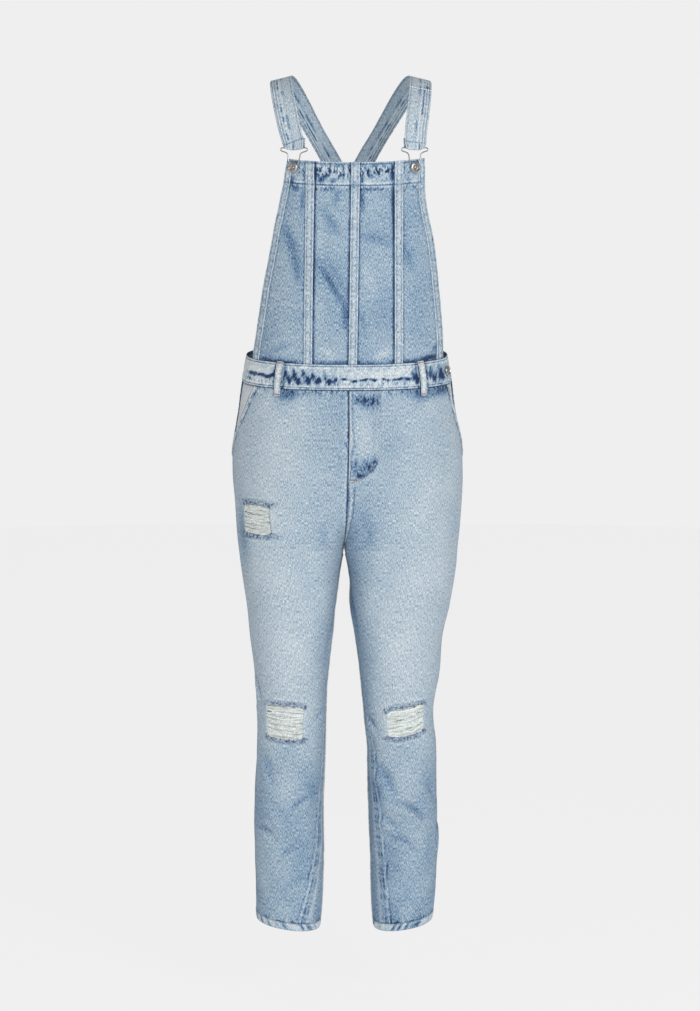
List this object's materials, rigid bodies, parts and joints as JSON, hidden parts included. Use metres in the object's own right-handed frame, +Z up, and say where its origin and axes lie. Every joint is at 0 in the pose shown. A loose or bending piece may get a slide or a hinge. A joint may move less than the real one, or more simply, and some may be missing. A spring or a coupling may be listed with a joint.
{
  "type": "dungarees",
  "caption": "Light-washed denim dungarees, filled out as worn, with an open neck and armholes, a seamed bib, wire hook buckles, slanted pockets and worn-through rips.",
  "frame": {"origin": "midway between the two shoulder straps, at the underside of their tops, where the wearer's shoulders hold the garment up", "axes": "+Z up, -Y the front (the side with the bib and fly), +X the wearer's left"},
  "size_m": [0.3689, 0.2417, 1.372],
  "materials": {
    "leg_denim": "light-washed denim twill",
    "bib_denim": "mid-washed denim twill",
    "seam_denim": "felled and puckered denim, worn pale on its ridges",
    "weft_yarn": "bare white weft yarn",
    "steel": "nickel-plated wire",
    "copper": "rose copper with a nickel rim"
  },
  "bodies": {
    "root": {"back_bib": "bib_denim", "back_left": "leg_denim", "back_right": "leg_denim", "belt_loop_back_left": "seam_denim", "belt_loop_back_middle": "seam_denim", "belt_loop_back_right": "seam_denim", "belt_loop_front_left": "seam_denim", "belt_loop_front_right": "seam_denim", "bib_button_left": "copper", "bib_button_right": "copper", "bib_edge_left": "seam_denim", "bib_edge_right": "seam_denim", "bib_inner_left": "bib_denim", "bib_inner_right": "bib_denim", "bib_outer_left": "bib_denim", "bib_outer_right": "bib_denim", "bib_seam_left": "seam_denim", "bib_seam_middle": "seam_denim", "bib_seam_right": "seam_denim", "buckle_left": "steel", "buckle_right": "steel", "fly": "seam_denim", "front_left": "leg_denim", "front_right": "leg_denim", "hem_left": "seam_denim", "hem_right": "seam_denim", "inseam_left": "seam_denim", "inseam_right": "seam_denim", "pocket_facing_left": "leg_denim", "pocket_facing_right": "leg_denim", "pocket_hem_left": "seam_denim", "pocket_hem_right": "seam_denim", "rip_knee_left": "weft_yarn", "rip_knee_right": "weft_yarn", "rip_thigh": "weft_yarn", "rise_seam_back": "seam_denim", "rise_seam_front": "seam_denim", "side_button": "copper", "strap_left": "bib_denim", "strap_right": "bib_denim", "waistband_back": "seam_denim", "waistband_front": "seam_denim"}
  },
  "joints": []
}
